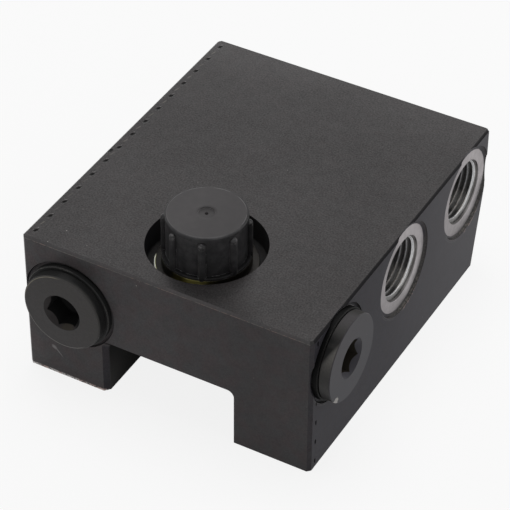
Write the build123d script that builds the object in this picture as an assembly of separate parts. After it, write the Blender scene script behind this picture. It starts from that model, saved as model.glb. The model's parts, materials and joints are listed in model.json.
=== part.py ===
from build123d import *
import os
from math import cos, radians, sin, tan

os.makedirs("parts", exist_ok=True)

# A hydraulic distribution block: two feet with a channel between them, three
# connections on the right face, one on the front face and one on the top face.
# Sizes are in millimetres. X runs to the right, Y to the back and Z up.
# The origin is the centre of the foot hole pattern, on the underside.

# Block
left_foot_width = 27.8
channel_width = 42.7
right_foot_width = 25.5
channel_offset = 0.35
block_height = 49.5
channel_height = 18.2
channel_root_radius = 1.5
top_edge_chamfer = 0.7
upright_edge_chamfer = 1.05
back_bevel_height = 29.7
back_bevel_depth = 6.3

# Deburred mouths of the channel: the front one is ground off more on some sides
mouth_bevel_length = 1.7
mouth_bevel_left = 1.5
mouth_bevel_roof = 1.7
mouth_bevel_right = 0.4
mouth_corner_radius = 2.25
back_mouth_chamfer = 1.0

# Three stations along the right face, and the margin from the outer two to the ends
station_pitch = 42.0
station_margin = 15.2
station_height = 34.5

# Lengthwise gallery, closed at its front end by the front plug
gallery_inset = 15.6
gallery_height = 29.3
gallery_diameter = 11.0
gallery_overrun = 7.0

# Passages from the stations to the gallery
branch_diameter = 11.0
link_diameter = 8.0
drill_point_angle = 118.0

# Pipe thread of size one half, and the faced seat round it
thread_diameter = 20.955
thread_length = 15.0
thread_mouth_diameter = 21.2
tapping_drill_diameter = 19.0
tapping_drill_run_out = 1.5
seat_margin = 1.17
seat_depth = 0.95
seat_corner_radius = 0.8

# Top connection, at the bottom of a counterbore that leaves room for a socket spanner
top_connection_inset = 23.0
top_thread_length = 12.0
counterbore_diameter = 36.2
counterbore_depth = 8.2
counterbore_corner_radius = 0.5

# Foot holes, tapped from below
foot_hole_diameter = 8.0
foot_hole_depth = 14.0
foot_hole_spacing_x = 70.0
foot_hole_spacing_y = 64.0
foot_hole_mouth_diameter = 8.8

# Screw plugs with a hexagon socket: the front one has a smaller collar
front_collar_diameter = 26.1
front_collar_height = 3.25
front_collar_chamfer = 0.35
side_collar_diameter = 27.1
side_collar_height = 3.5
side_collar_chamfer = 0.25
collar_back_chamfer = 0.25
plug_shank_length = 12.0
plug_relief_diameter = 18.2
plug_relief_length = 2.6
plug_tip_chamfer = 1.3
socket_width = 10.0
socket_depth = 7.0
socket_mouth_diameter = 12.5
socket_mouth_angle = 72.0
front_socket_turn = 13.7
side_socket_turn = 33.0

# Bonded sealing rings: a steel ring with a rubber lip moulded to its bore
seal_thickness = 2.0
plug_seal_ring_width = 2.2
nipple_seal_ring_width = 3.5
seal_lip_width = 1.1
seal_lip_taper = 0.3
seal_edge_chamfer = 0.2

# Stud nipple: stud, round collar, and a threaded tube end with a cone
nipple_collar_diameter = 26.6
nipple_collar_height = 3.1
nipple_collar_chamfer = 0.3
nipple_stud_length = 12.0
tube_end_diameter = 22.0
tube_end_length = 13.0
tube_end_chamfer = 1.0
tube_end_relief_depth = 1.0
tube_end_relief_length = 2.0
tube_seat_diameter = 15.0
tube_seat_depth = 7.0
tube_cone_mouth_diameter = 17.6
nipple_key_width = 12.0
nipple_key_depth = 8.0
nipple_bore_diameter = 10.0

# Ribbed screw cap over the tube end
cap_wall = 0.85
cap_lid_thickness = 1.4
cap_lid_overhang = 0.25
cap_lid_edge_radius = 0.6
cap_lip_diameter = 26.2
cap_lip_height = 0.9
cap_lip_edge_radius = 0.3
cap_rib_count = 8
cap_rib_radius = 1.15
cap_rib_ring_diameter = 24.4
cap_rib_drop = 1.65
cap_rib_turn = 23.6
cap_dimple_diameter = 5.0
cap_dimple_depth = 0.45
cap_dimple_edge_radius = 0.25
cap_gate_diameter = 0.8
cap_gate_height = 0.25

# Clearances
thread_clearance = 0.05
seal_bore_clearance = 0.3
cap_thread_clearance = 0.1
cap_end_clearance = 0.4
cut_overrun = 5.0

# Places worked out from the sizes
channel_left_wall = channel_offset - channel_width / 2
channel_right_wall = channel_offset + channel_width / 2
left_face = channel_left_wall - left_foot_width
right_face = channel_right_wall + right_foot_width
back_face = station_pitch + station_margin
front_face = -back_face
front_station = -station_pitch
top_connection_y = front_face + top_connection_inset
counterbore_floor = block_height - counterbore_depth
gallery_x = left_face + gallery_inset
gallery_end = station_pitch + gallery_overrun
collar_rest = seal_thickness - seat_depth
seal_bore_radius = thread_diameter / 2 + seal_bore_clearance
plug_seal_radius = seal_bore_radius + seal_lip_width + plug_seal_ring_width
seat_diameter = 2 * (plug_seal_radius + seat_margin)
nipple_collar_bottom = counterbore_floor + seal_thickness
nipple_collar_top = nipple_collar_bottom + nipple_collar_height
nipple_tip = nipple_collar_top + tube_end_length

front_plane = Plane(origin=(gallery_x, front_face, gallery_height), x_dir=(1, 0, 0), z_dir=(0, -1, 0))
top_plane = Plane(origin=(0, top_connection_y, block_height), x_dir=(1, 0, 0), z_dir=(0, 0, 1))


def station_plane(y, z):
    """Plane on the right face, looking out, with its own X along +Y."""
    return Plane(origin=(right_face, y, z), x_dir=(0, 1, 0), z_dir=(1, 0, 0))


def turned(points):
    """Solid turned about Z from an outline of (radius, height) points."""
    outline = make_face(Polyline([(r, 0, z) for r, z in points], close=True))
    return revolve(outline, Axis.Z)


def round_hole(plane, diameter, start, length):
    """Drilled hole with a conical bottom, from a depth of start below the plane."""
    radius = diameter / 2
    tip = radius / tan(radians(drill_point_angle / 2))
    bottom = -(start + length)
    return plane * turned([(0, -start), (radius, -start), (radius, bottom), (0, bottom - tip)])


def connection(face_diameter, face_depth, corner_radius, length):
    """Faced recess with a threaded hole and its tapping drill, cut from Z = 0 down."""
    face_radius = face_diameter / 2
    mouth_radius = thread_mouth_diameter / 2
    thread_radius = thread_diameter / 2
    drill_radius = tapping_drill_diameter / 2
    thread_top = -face_depth - (mouth_radius - thread_radius)
    thread_bottom = -face_depth - length
    drill_bottom = thread_bottom - tapping_drill_run_out
    drill_tip = drill_bottom - drill_radius / tan(radians(drill_point_angle / 2))
    recess = Pos(0, 0, -face_depth) * Cylinder(
        face_radius,
        face_depth + cut_overrun,
        align=(Align.CENTER, Align.CENTER, Align.MIN),
    )
    recess = fillet(recess.edges().sort_by(Axis.Z)[0], corner_radius)
    hole = turned(
        [
            (0, 0),
            (mouth_radius, 0),
            (mouth_radius, -face_depth),
            (thread_radius, thread_top),
            (thread_radius, thread_bottom),
            (drill_radius, thread_bottom),
            (drill_radius, drill_bottom),
            (0, drill_tip),
        ]
    )
    return recess + hole


def block_blank():
    """Block with its channel, back bevel and edge chamfers, before drilling."""
    depth = back_face - front_face
    width = right_face - left_face
    corner = Pos(left_face, front_face, 0)
    blank = corner * Box(width, depth, block_height, align=Align.MIN)
    blank -= extrude(channel_section(back_face + cut_overrun, 0), depth + 2 * cut_overrun)
    blank -= front_mouth()
    bevel_outline = make_face(
        Polyline(
            [
                (left_face, back_face - back_bevel_depth, 0),
                (left_face, back_face, back_bevel_height),
                (left_face, back_face + back_bevel_depth, back_bevel_height),
                (left_face, back_face + back_bevel_depth, 0),
            ],
            close=True,
        )
    )
    blank -= extrude(bevel_outline, amount=width, dir=(1, 0, 0))
    left_uprights = blank.faces().sort_by(Axis.X)[0].edges() - blank.edges().filter_by(Axis.Y)
    right_uprights = blank.faces().sort_by(Axis.X)[-1].edges() - blank.edges().filter_by(Axis.Y)
    blank = chamfer(left_uprights + right_uprights, upright_edge_chamfer)
    blank = chamfer(blank.faces().sort_by(Axis.Z)[-1].edges(), top_edge_chamfer)
    return chamfer(back_mouth_edges(blank), back_mouth_chamfer)


def channel_section(y, widening):
    """Channel's outline across the block at Y = y, with its bevels times the widening."""
    left = channel_left_wall - widening * mouth_bevel_left
    right = channel_right_wall + widening * mouth_bevel_right
    roof = channel_height + widening * mouth_bevel_roof
    corner_radius = channel_root_radius + widening * (mouth_corner_radius - channel_root_radius)
    bottom = -cut_overrun
    outline = make_face(
        Polyline([(left, bottom), (left, roof), (right, roof), (right, bottom)], close=True)
    )
    outline = fillet(outline.vertices().sort_by(Axis.Y)[-2:], corner_radius)
    return Plane(origin=(0, y, 0), x_dir=(1, 0, 0), z_dir=(0, -1, 0)) * outline


def front_mouth():
    """Bevel round the channel's front mouth, twice as long as the part of it in the block."""
    inner = channel_section(front_face + mouth_bevel_length, 0)
    outer = channel_section(front_face - mouth_bevel_length, 2)
    return loft([inner, outer], ruled=True)


def back_mouth_edges(blank):
    """Edges where the channel's walls and roof meet the back face."""
    inner = (
        blank.edges()
        .filter_by_position(Axis.X, channel_left_wall, channel_right_wall)
        .filter_by_position(Axis.Y, 0, back_face)
        .filter_by_position(Axis.Z, 0, channel_height)
    )
    return inner - inner.filter_by(Axis.Y)


def make_block():
    """Block with its connections, passages and foot holes."""
    side_connection = connection(seat_diameter, seat_depth, seat_corner_radius, thread_length)
    top_connection = connection(
        counterbore_diameter, counterbore_depth, counterbore_corner_radius, top_thread_length
    )
    block = block_blank()
    block -= top_plane * top_connection
    block -= front_plane * side_connection
    for y in (front_station, 0, station_pitch):
        block -= station_plane(y, station_height) * side_connection

    drilled = seat_depth + thread_length
    gallery_length = gallery_end - front_face - drilled
    block -= round_hole(front_plane, gallery_diameter, drilled, gallery_length)
    branch_length = right_face - gallery_x - drilled
    for y in (0, station_pitch):
        block -= round_hole(station_plane(y, station_height), branch_diameter, drilled, branch_length)
    block -= round_hole(station_plane(front_station, gallery_height), link_diameter, drilled, branch_length)

    underside = Plane(origin=(0, 0, 0), x_dir=(1, 0, 0), z_dir=(0, 0, -1))
    for place in GridLocations(foot_hole_spacing_x, foot_hole_spacing_y, 2, 2):
        block -= round_hole(underside * place, foot_hole_diameter, 0, foot_hole_depth)
        block -= underside * place * mouth_cone(foot_hole_mouth_diameter, foot_hole_diameter)
    return block


def mouth_cone(outer_diameter, inner_diameter):
    """Countersink at 45 degrees, cut from Z = 0 down."""
    outer = outer_diameter / 2
    inner = inner_diameter / 2
    return turned([(0, 0), (outer, 0), (inner, inner - outer), (0, inner - outer)])


def make_plug(collar_diameter, top, front_chamfer, socket_turn):
    """Screw plug, with Z = 0 at the underside of its collar and the socket in its top."""
    collar = collar_diameter / 2
    thread = thread_diameter / 2 - thread_clearance
    relief = plug_relief_diameter / 2
    body = turned(
        [
            (0, top),
            (collar - front_chamfer, top),
            (collar, top - front_chamfer),
            (collar, collar_back_chamfer),
            (collar - collar_back_chamfer, 0),
            (relief, 0),
            (relief, -plug_relief_length),
            (thread, -plug_relief_length - (thread - relief)),
            (thread, plug_tip_chamfer - plug_shank_length),
            (thread - plug_tip_chamfer, -plug_shank_length),
            (0, -plug_shank_length),
        ]
    )
    mouth = socket_mouth_diameter / 2
    mouth_depth = mouth / tan(radians(socket_mouth_angle / 2))
    key = hexagon_hole(socket_width, socket_depth, socket_turn)
    entry = turned([(0, 0), (mouth, 0), (0, -mouth_depth)])
    return body - Pos(0, 0, top) * key - Pos(0, 0, top) * entry


def hexagon_hole(width, depth, turn):
    """Hexagon hole with a conical bottom, cut from Z = 0 down."""
    corner = width / 2 / cos(radians(30))
    prism = extrude(Rot(0, 0, turn) * RegularPolygon(corner, 6), -depth)
    tip = width / 2 / tan(radians(drill_point_angle / 2))
    return prism + turned([(0, -depth), (width / 2, -depth), (0, -depth - tip)])


def make_seal(ring_width):
    """Bonded sealing ring, lying on Z = 0, with its tapered lip inside."""
    bore = seal_bore_radius
    lip_end = bore + seal_lip_width
    outer = lip_end + ring_width
    top = seal_thickness
    edge = seal_edge_chamfer
    taper = seal_lip_taper
    return turned(
        [
            (bore, taper),
            (lip_end, 0),
            (outer - edge, 0),
            (outer, edge),
            (outer, top - edge),
            (outer - edge, top),
            (lip_end, top),
            (bore, top - taper),
        ]
    )


def make_nipple():
    """Stud nipple in its place in the block."""
    collar = nipple_collar_diameter / 2
    stud = thread_diameter / 2 - thread_clearance
    relief = plug_relief_diameter / 2
    tube_end = tube_end_diameter / 2
    tube_relief = tube_end - tube_end_relief_depth
    bottom = nipple_collar_bottom - nipple_stud_length
    relief_end = nipple_collar_bottom - plug_relief_length
    body = turned(
        [
            (0, bottom),
            (stud - plug_tip_chamfer, bottom),
            (stud, bottom + plug_tip_chamfer),
            (stud, relief_end - (stud - relief)),
            (relief, relief_end),
            (relief, nipple_collar_bottom),
            (collar - nipple_collar_chamfer, nipple_collar_bottom),
            (collar, nipple_collar_bottom + nipple_collar_chamfer),
            (collar, nipple_collar_top),
            (tube_relief, nipple_collar_top),
            (tube_relief, nipple_collar_top + tube_end_relief_length),
            (tube_end, nipple_collar_top + tube_end_relief_length + tube_end_relief_depth),
            (tube_end, nipple_tip - tube_end_chamfer),
            (tube_end - tube_end_chamfer, nipple_tip),
            (0, nipple_tip),
        ]
    )
    seat = tube_seat_diameter / 2
    cone_mouth = tube_cone_mouth_diameter / 2
    cone_depth = (cone_mouth - seat) / tan(radians(12))
    bore = nipple_bore_diameter / 2
    hollow = turned(
        [
            (0, bottom),
            (bore, bottom),
            (bore, nipple_tip - tube_seat_depth),
            (seat, nipple_tip - tube_seat_depth),
            (seat, nipple_tip - cone_depth),
            (cone_mouth, nipple_tip),
            (0, nipple_tip),
        ]
    )
    key = hexagon_hole(nipple_key_width, nipple_key_depth, 0)
    body = body - hollow - Pos(0, 0, nipple_tip - tube_seat_depth) * key
    return Pos(0, top_connection_y, 0) * body


def make_cap():
    """Ribbed screw cap, seated on the nipple's collar."""
    inside = tube_end_diameter / 2 + cap_thread_clearance
    wall = inside + cap_wall
    lid = wall + cap_lid_overhang
    lip = cap_lip_diameter / 2
    inside_top = nipple_tip - nipple_collar_top + cap_end_clearance
    height = inside_top + cap_lid_thickness
    lid_bottom = height - cap_lid_thickness
    disc = Pos(0, 0, lid_bottom) * Cylinder(
        lid, cap_lid_thickness, align=(Align.CENTER, Align.CENTER, Align.MIN)
    )
    disc = fillet(disc.edges().sort_by(Axis.Z)[-1], cap_lid_edge_radius)
    skirt = Cylinder(wall, lid_bottom, align=(Align.CENTER, Align.CENTER, Align.MIN))
    rim = Cylinder(lip, cap_lip_height, align=(Align.CENTER, Align.CENTER, Align.MIN))
    rim = fillet(rim.edges().sort_by(Axis.Z)[-1], cap_lip_edge_radius)
    cap = skirt + rim
    rib_top = height - cap_rib_drop - cap_rib_radius
    rib = Cylinder(cap_rib_radius, rib_top, align=(Align.CENTER, Align.CENTER, Align.MIN))
    rib += Pos(0, 0, rib_top) * Sphere(cap_rib_radius)
    for place in PolarLocations(cap_rib_ring_diameter / 2, cap_rib_count, cap_rib_turn):
        cap += place * rib
    cap += disc
    cap -= Cylinder(inside, inside_top, align=(Align.CENTER, Align.CENTER, Align.MIN))
    dimple = Pos(0, 0, height) * Cylinder(
        cap_dimple_diameter / 2, cap_dimple_depth * 2
    )
    dimple = fillet(dimple.edges().sort_by(Axis.Z)[0], cap_dimple_edge_radius)
    cap -= dimple
    gate = Pos(0, 0, height - cap_dimple_depth) * Cylinder(
        cap_gate_diameter / 2, cap_gate_height, align=(Align.CENTER, Align.CENTER, Align.MIN)
    )
    cap += gate
    return Pos(0, top_connection_y, nipple_collar_top) * cap


side_plane = station_plane(front_station, station_height)
front_seat = front_plane * Pos(0, 0, -seat_depth)
side_seat = side_plane * Pos(0, 0, -seat_depth)
top_seat = Pos(0, top_connection_y, counterbore_floor)

front_plug = make_plug(
    front_collar_diameter, front_collar_height, front_collar_chamfer, front_socket_turn
)
side_plug = make_plug(
    side_collar_diameter, side_collar_height, side_collar_chamfer, side_socket_turn
)

nodes = {
    "block_body": make_block(),
    "front_plug": front_plane * Pos(0, 0, collar_rest) * front_plug,
    "front_plug_seal": front_seat * make_seal(plug_seal_ring_width),
    "side_plug": side_plane * Pos(0, 0, collar_rest) * side_plug,
    "side_plug_seal": side_seat * make_seal(plug_seal_ring_width),
    "stud_nipple": make_nipple(),
    "stud_nipple_seal": top_seat * make_seal(nipple_seal_ring_width),
    "protective_cap": make_cap(),
}

for name, shape in nodes.items():
    export_step(shape, f"parts/{name}.step")
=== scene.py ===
import json
import math
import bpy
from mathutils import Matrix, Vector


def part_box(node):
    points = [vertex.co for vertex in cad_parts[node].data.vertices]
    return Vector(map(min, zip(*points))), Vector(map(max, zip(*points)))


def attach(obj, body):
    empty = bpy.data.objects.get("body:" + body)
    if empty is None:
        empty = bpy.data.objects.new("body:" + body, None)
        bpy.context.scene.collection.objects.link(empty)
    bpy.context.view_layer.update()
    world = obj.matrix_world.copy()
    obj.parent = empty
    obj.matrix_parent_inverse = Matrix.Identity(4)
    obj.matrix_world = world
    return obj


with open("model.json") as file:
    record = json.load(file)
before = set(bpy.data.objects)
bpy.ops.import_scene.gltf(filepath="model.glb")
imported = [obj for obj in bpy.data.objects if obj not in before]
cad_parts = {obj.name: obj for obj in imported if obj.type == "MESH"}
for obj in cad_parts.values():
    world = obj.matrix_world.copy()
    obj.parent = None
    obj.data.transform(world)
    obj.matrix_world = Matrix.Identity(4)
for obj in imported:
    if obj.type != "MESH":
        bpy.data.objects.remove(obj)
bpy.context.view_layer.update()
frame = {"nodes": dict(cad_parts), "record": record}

from types import SimpleNamespace

import bmesh
import bpy
from mathutils import Matrix, Vector

# Sizes of the object are in millimetres, in the frame of the CAD model, and angles are in degrees.
MM = 0.001

# Camera of the photograph, with its place in metres
CAMERA_PLACE = (0.27643, -0.50089, 0.49645)
CAMERA_AZIMUTH = 29.173
CAMERA_ELEVATION = 39.75
CAMERA_ROLL = 0.413
CAMERA_LENS = 172.15
SENSOR_WIDTH = 36.0

# Studio, in metres and watts: the world's light on the object, how white the floor looks, and the
# softboxes with their names, places, side lengths and powers
WORLD_LIGHT = 0.34
FLOOR_HALF = 3.0
FLOOR_DROP = 0.0001
FLOOR_WHITENESS = 0.86
SOFTBOXES = (
    ("light_top", (-0.15, 0.25, 1.3), 0.9, 9.5),
    ("light_right", (0.30, 0.34, 0.10), 0.25, 0.3),
)
LIGHT_TARGET = Vector((0, 0, 0.02))

# Block and plugs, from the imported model
mounts = {mount["name"]: mount for mount in frame["record"]["mounts"]}
block_low, block_high = (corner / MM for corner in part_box("block_body"))
LEFT, FRONT, BOTTOM = block_low
RIGHT, BACK, TOP = block_high
port_a = Vector(mounts["port_a"]["pos_m"]) / MM
port_b = Vector(mounts["port_b"]["pos_m"]) / MM
PORT_PITCH = port_b.y - port_a.y
PORT_HEIGHT = port_a.z
cap_low, cap_high = (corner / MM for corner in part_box("protective_cap"))
CAP_CENTRE = (cap_low + cap_high) / 2
CAP_TOP = cap_high.z
front_plug_low, front_plug_high = (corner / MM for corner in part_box("front_plug"))
FRONT_PLUG_CENTRE = (front_plug_low + front_plug_high) / 2
side_plug_low, side_plug_high = (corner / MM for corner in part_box("side_plug"))
SIDE_PLUG_CENTRE = (side_plug_low + side_plug_high) / 2

# Forms of the pieces, as the part's source has them
SEAT_DEPTH = 0.95
SEAT_FLOOR = RIGHT - SEAT_DEPTH
SEAT_RADIUS = 15.25
CHANNEL_LEFT = -21.0
CHANNEL_RIGHT = 21.7
CHANNEL_TOP = 18.2
COUNTERBORE_RADIUS = 18.1
COUNTERBORE_DEPTH = 8.2
COUNTERBORE_FLOOR = TOP - COUNTERBORE_DEPTH
SOCKET_RADIUS = 6.25
FRONT_COLLAR_FACE_RADIUS = 12.7
NIPPLE_SEAL_FACE_RADIUS = 15.18
LID_RADIUS = 11.7
RIB_RING_RADIUS = 12.2
DIMPLE_RADIUS = 2.5
GATE_RADIUS = 0.4

# The two plugs and their seals lie on either side of this x.
BETWEEN_PLUGS = 10.5

# Directions that the finishes measure their angles about an axis from
FRONT_PLUG_TOWARDS = 45.0
SIDE_PLUG_TOWARDS = 130.0
CAP_TOWARDS = -100.0
NIPPLE_TOWARDS = -90.0

# Turned bright part of the seats, which isn't quite central: radius, and its middle from the port's axis
SEAT_BRIGHT_RADIUS = 13.98
SEAT_BRIGHT_SHIFT = 0.22
SEAT_BRIGHT_DROPS = (-0.10, -0.40)

# Tint of the blackened steel's reflections, and the specular level of what has none of its own
BLACKENED_TINT = (1.0, 0.945, 0.95, 1.0)
PLAIN_SPECULAR = 0.15

# Rows of marks along an edge: distances of the first mark and of the row from the edges, pitch, and the
# half axes, turn and soft edge of the ellipse that each mark is
TOP_DENTS = {"first": 3.86, "inset": 2.65, "pitch": 7.62}
TOP_DENT = {"halves": (0.66, 1.25), "turn": -14.0, "soft": (1.25, 0.4)}
SIDE_DENTS = {"first": 2.48, "inset": 2.95, "pitch": 7.49}
SIDE_DENT = {"halves": (0.5, 1.1), "turn": 8.0, "soft": (1.15, 0.6)}
DASH_INSET = 2.4
DASH = {"halves": (0.28, 1.2), "turn": -14.0, "soft": (1.2, 0.5)}

# Single marks
NICK = {"centre": (LEFT + 1.0, -10.2), "halves": (0.75, 0.85), "soft": (1.35, 0.7)}
SCRATCH = {"centre": (-38.2, 8.9), "halves": (2.5, 0.26), "turn": -47.0, "soft": (1.2, 0.5)}
BLOTCH = {"centre": (-39.5, 10.0), "halves": (1.1, 0.7), "turn": -35.0, "soft": (1.3, 0.4)}
PLUG_CHIP_PLACE = (51.6, -51.1, 25.0)

# Parts of a face that mirror less of the studio, or carry painted shade: the front above the front plug,
# and the top in front of the counterbore, whose reflection is lowered as a painted shade of the cap
SHADE_ABOVE_PLUG = {"centre": (-29.0, 45.5), "halves": (10.0, 5.5)}
FLAT_MIDDLE = {"centre": (29.0, 1.0), "halves": (24.0, 20.0)}
CAP_SHADE_FRONT = {"centre": (14.0, -57.5), "halves": (19.0, 11.0)}

# Bright specks on the block: place and radius
SPECKS = (
    ((-38.3, -49.2, TOP), 0.2),
    ((-9.8, FRONT, 46.5), 0.22),
    ((-40.4, -56.0, TOP), 0.18),
    ((-29.6, -52.0, TOP), 0.14),
)

# Threads and countersinks: radii, the countersink's rise over its depth, and points round and along a turn
PORT_THREAD = {
    "major": 10.44, "minor": 9.32, "pitch": 1.814, "phase": 0.42, "length": 14.8,
    "wall": 10.46, "mouth": 10.6, "taper": 0.711, "around": 128, "samples": 12,
}
FOOT_THREAD = {
    "major": 3.96, "minor": 3.35, "pitch": 1.25, "phase": 0.0, "length": 13.5,
    "wall": 3.98, "mouth": 4.4, "taper": 1.0, "around": 48, "samples": 10,
}
THREAD_CREST = 0.19
THREAD_ROOT = 0.15
WELD = 0.002
SMOOTH_UP_TO = 20.0

# Sockets of the shader that a finish sets
SOCKETS = {
    "base": "Base Color",
    "metallic": "Metallic",
    "roughness": "Roughness",
    "specular": "Specular IOR Level",
    "tint": "Specular Tint",
    "normal": "Normal",
}


def linear(level):
    """Scene value of one 8-bit display level."""
    share = level / 255
    return share / 12.92 if share <= 0.04045 else ((share + 0.055) / 1.055) ** 2.4


def colour(red, green, blue):
    return (linear(red), linear(green), linear(blue), 1.0)


def grey(level):
    return colour(level, level, level)


class Finish:
    """Procedural material. Its textures are read at the surface's own place, in millimetres."""

    def __init__(self, name):
        self.material = bpy.data.materials.new(name)
        self.material.use_nodes = True
        tree = self.material.node_tree
        self.nodes = tree.nodes
        self.links = tree.links
        self.nodes.clear()
        self.shader = self.nodes.new("ShaderNodeBsdfPrincipled")
        self.shader.inputs["Specular IOR Level"].default_value = PLAIN_SPECULAR
        output = self.nodes.new("ShaderNodeOutputMaterial")
        self.links.new(self.shader.outputs[0], output.inputs["Surface"])
        coordinates = self.nodes.new("ShaderNodeTexCoord")
        self.place = self.scaled(coordinates.outputs["Object"], 1 / MM)
        self.x, self.y, self.z = self.split(self.place)
        geometry = self.nodes.new("ShaderNodeNewGeometry")
        self.normal = geometry.outputs["True Normal"]
        self.normal_x, self.normal_y, self.normal_z = self.split(self.normal)

    def put(self, socket, value):
        """Links a socket, or sets its value."""
        if isinstance(value, bpy.types.NodeSocket):
            self.links.new(value, socket)
        else:
            socket.default_value = value

    def split(self, vector):
        node = self.nodes.new("ShaderNodeSeparateXYZ")
        self.links.new(vector, node.inputs[0])
        return node.outputs

    def scaled(self, vector, factor):
        """Colour or place, times a value."""
        node = self.nodes.new("ShaderNodeVectorMath")
        node.operation = "SCALE"
        self.put(node.inputs[0], vector)
        self.put(node.inputs["Scale"], factor)
        return node.outputs[0]

    def measured(self, operation, first, second):
        """Value that a vector operation gives."""
        node = self.nodes.new("ShaderNodeVectorMath")
        node.operation = operation
        self.put(node.inputs[0], first)
        self.put(node.inputs[1], second)
        return node.outputs["Value"]

    def math(self, operation, *values):
        node = self.nodes.new("ShaderNodeMath")
        node.operation = operation
        for socket, value in zip(node.inputs, values):
            self.put(socket, value)
        return node.outputs[0]

    def chain(self, operation, values):
        total = values[0]
        for value in values[1:]:
            total = self.math(operation, total, value)
        return total

    def add(self, *values):
        return self.chain("ADD", values)

    def times(self, *values):
        return self.chain("MULTIPLY", values)

    def most(self, *values):
        return self.chain("MAXIMUM", values)

    def offset(self, value, centre):
        return self.math("SUBTRACT", value, centre)

    def outside(self, mask):
        """0 where the mask is 1, and 1 where it is 0."""
        return self.math("SUBTRACT", 1.0, mask)

    def between(self, amount, low, high):
        """Value from low at 0 to high at 1."""
        return self.math("MULTIPLY_ADD", amount, high - low, low)

    def step(self, value, low, high):
        """Smooth rise from 0 at low to 1 at high, or a fall where low is above high."""
        node = self.nodes.new("ShaderNodeMapRange")
        node.interpolation_type = "SMOOTHSTEP"
        rises = low < high
        self.put(node.inputs["Value"], value)
        node.inputs["From Min"].default_value = min(low, high)
        node.inputs["From Max"].default_value = max(low, high)
        node.inputs["To Min"].default_value = 0.0 if rises else 1.0
        node.inputs["To Max"].default_value = 1.0 if rises else 0.0
        return node.outputs[0]

    def band(self, value, low, high, soft):
        """1 between low and high, with soft ends."""
        rise = self.step(value, low - soft, low + soft)
        return self.times(rise, self.step(value, high + soft, high - soft))

    def repeated(self, value, first, pitch):
        """Offset from the nearest of a row of places."""
        return self.math("WRAP", self.offset(value, first), pitch / 2, -pitch / 2)

    def radius(self, u, v):
        """Distance from a line, from the two offsets across it."""
        return self.math("SQRT", self.add(self.math("POWER", u, 2.0), self.math("POWER", v, 2.0)))

    def turned(self, u, v, towards):
        """Two offsets, seen along and across a direction."""
        cosine = math.cos(math.radians(towards))
        sine = math.sin(math.radians(towards))
        along = self.add(self.times(u, cosine), self.times(v, sine))
        across = self.add(self.times(u, -sine), self.times(v, cosine))
        return along, across

    def angle(self, u, v, towards=0.0):
        """Angle about an axis, measured from a direction, from the two offsets across it."""
        along, across = self.turned(u, v, towards)
        return self.times(self.math("ARCTAN2", across, along), 180 / math.pi)

    def spot(self, u, v, centre, halves, turn=0.0, soft=(1.1, 0.2)):
        """1 inside an ellipse, whose soft edge is given in shares of its half axes."""
        along, across = self.turned(self.offset(u, centre[0]), self.offset(v, centre[1]), turn)
        share = self.radius(self.times(along, 1 / halves[0]), self.times(across, 1 / halves[1]))
        return self.step(share, *soft)

    def texture(self, kind, scale, shift):
        """Texture with scale cells a millimetre. The shift keeps it apart from the others."""
        mapping = self.nodes.new("ShaderNodeMapping")
        self.links.new(self.place, mapping.inputs["Vector"])
        mapping.inputs["Location"].default_value = (shift, shift, shift)
        node = self.nodes.new(kind)
        self.links.new(mapping.outputs[0], node.inputs["Vector"])
        node.inputs["Scale"].default_value = scale
        return node

    def noise(self, scale, detail=2.0, roughness=0.5, shift=0.0):
        """Noise from 0 to 1."""
        node = self.texture("ShaderNodeTexNoise", scale, shift)
        node.inputs["Detail"].default_value = detail
        node.inputs["Roughness"].default_value = roughness
        return node.outputs[0]

    def flecks(self, low, high, scale, **noise):
        """1 where a noise is over high, 0 where it is under low, and a smooth rise between."""
        return self.step(self.noise(scale, **noise), low, high)

    def swing(self, noise, amount):
        """Noise about 0, times an amount."""
        return self.times(self.offset(noise, 0.5), amount)

    def specks(self, scale, size, share, shift):
        """Sparse small spots of a radius, in a share of the cells."""
        node = self.texture("ShaderNodeTexVoronoi", scale, shift)
        spot = self.step(node.outputs["Distance"], size * scale, size * scale / 2)
        red = self.split(node.outputs["Color"])[0]
        return self.times(spot, self.step(red, 1 - share, 1 - share + 0.01))

    def mix(self, amount, first, second):
        """Colour from first at 0 to second at 1."""
        node = self.nodes.new("ShaderNodeMix")
        node.data_type = "RGBA"
        self.put(node.inputs[0], amount)
        self.put(node.inputs[6], first)
        self.put(node.inputs[7], second)
        return node.outputs[2]

    def paint(self, base, mask, share, tone):
        """Base that is covered with a share of a tone where the mask is 1."""
        return self.mix(self.times(mask, share), base, tone)

    def bump(self, height):
        """Surface normal for a height in millimetres."""
        node = self.nodes.new("ShaderNodeBump")
        node.inputs["Strength"].default_value = 1.0
        node.inputs["Distance"].default_value = MM
        self.put(node.inputs["Height"], height)
        return node.outputs[0]

    def edges(self, radius):
        """1 on sharp edges within a radius, and 0 away from them."""
        bevel = self.nodes.new("ShaderNodeBevel")
        bevel.samples = 4
        bevel.inputs["Radius"].default_value = radius * MM
        alike = self.measured("DOT_PRODUCT", bevel.outputs[0], self.normal)
        return self.step(alike, 0.985, 0.86)

    def from_port(self):
        """Offsets from the nearest port's axis, along the row and upward."""
        return self.repeated(self.y, 0.0, PORT_PITCH), self.offset(self.z, PORT_HEIGHT)

    def from_cap(self):
        """Offsets from the cap's axis, along x and y."""
        return self.offset(self.x, CAP_CENTRE.x), self.offset(self.y, CAP_CENTRE.y)

    def set(self, **values):
        """Material with these values on its shader."""
        for name, value in values.items():
            self.put(self.shader.inputs[SOCKETS[name]], value)
        return self.material


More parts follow.
